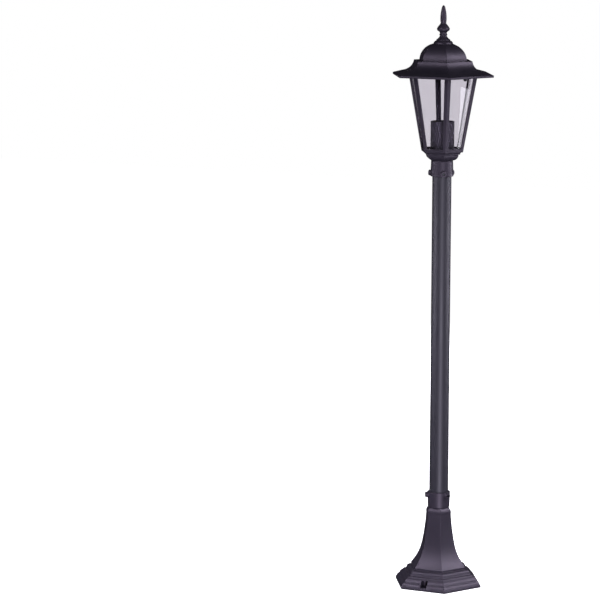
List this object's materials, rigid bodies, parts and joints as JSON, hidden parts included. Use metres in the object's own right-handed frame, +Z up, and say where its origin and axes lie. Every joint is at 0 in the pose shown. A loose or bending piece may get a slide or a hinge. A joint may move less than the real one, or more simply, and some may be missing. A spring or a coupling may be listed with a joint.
{
  "type": "garden post lantern",
  "caption": "Free-standing garden post lantern: flared hexagonal foot, clamped round pole and a tapered glazed head with a swept domed roof and spear finial.",
  "frame": {"origin": "centre of the foot's underside, on the ground", "axes": "+Z up along the pole; a flat face of every hexagon, with an anchor slot in the foot, faces -Y; corners point along +X and -X"},
  "size_m": [0.1972, 0.1708, 1.0702],
  "materials": {
    "powder_coat": "cast aluminium under a charcoal powder coat, satin",
    "pole_coat": "extruded aluminium tube under a charcoal powder coat, satin",
    "clear_glass": "clear flat glass with a light grey cast",
    "zinc_steel": "zinc plated",
    "black_steel": "black oxide",
    "spring_steel": "bright",
    "brass": "turned",
    "black_plastic": "moulded, satin",
    "white_plastic": "moulded",
    "ceramic": "unglazed",
    "lead_sheath": "black rubber sheath",
    "core_cover": "insulated conductors"
  },
  "bodies": {
    "foot": {"foot_casting": "powder_coat", "foot_nipple": "zinc_steel", "collar_lock_nut": "zinc_steel", "foot_lock_nut": "zinc_steel", "foot_collar": "powder_coat", "foot_collar_screws": "black_steel", "terminal_bracket": "zinc_steel", "earth_screw": "brass", "earth_nut": "brass", "terminal_block": "white_plastic", "terminal_ways": "brass", "terminal_screws": "zinc_steel", "foot_cores": "core_cover", "internal_lead": "lead_sheath"},
    "pole": {"pole_tube": "pole_coat"},
    "head": {"head_collar": "powder_coat", "head_collar_screws": "black_steel", "lantern_bowl": "powder_coat", "cage_casting": "powder_coat", "glass_pane_000": "clear_glass", "glass_pane_060": "clear_glass", "glass_pane_120": "clear_glass", "glass_pane_180": "clear_glass", "glass_pane_240": "clear_glass", "glass_pane_300": "clear_glass", "pane_clips": "spring_steel", "roof_cap_nuts": "black_steel", "holder_sleeve": "black_plastic", "lampholder_body": "black_plastic", "holder_insert": "ceramic", "socket_shell": "brass", "holder_nut": "zinc_steel", "head_nipple": "zinc_steel", "head_lock_nut": "zinc_steel", "holder_cores": "core_cover"},
    "contact": {"centre_contact": "brass"},
    "roof": {"roof_casting": "powder_coat", "roof_studs": "zinc_steel", "finial": "powder_coat", "finial_washer": "zinc_steel", "finial_nut": "zinc_steel"}
  },
  "joints": [
    {"name": "pole_turn", "type": "hinge", "parent": "foot", "child": "pole", "pos_m": [0, 0, 0.16], "axis": [0, 0, 1], "range_deg": [-180, 180]},
    {"name": "head_turn", "type": "hinge", "parent": "pole", "child": "head", "pos_m": [0, 0, 0.775], "axis": [0, 0, 1], "range_deg": [-180, 180]},
    {"name": "roof_lift", "type": "slide", "parent": "head", "child": "roof", "axis": [0, 0, 1], "range_m": [0, 0.16]},
    {"name": "contact_press", "type": "slide", "parent": "head", "child": "contact", "axis": [0, 0, -1], "range_m": [0, 0.0012], "stiffness_N_per_m": 2500}
  ]
}
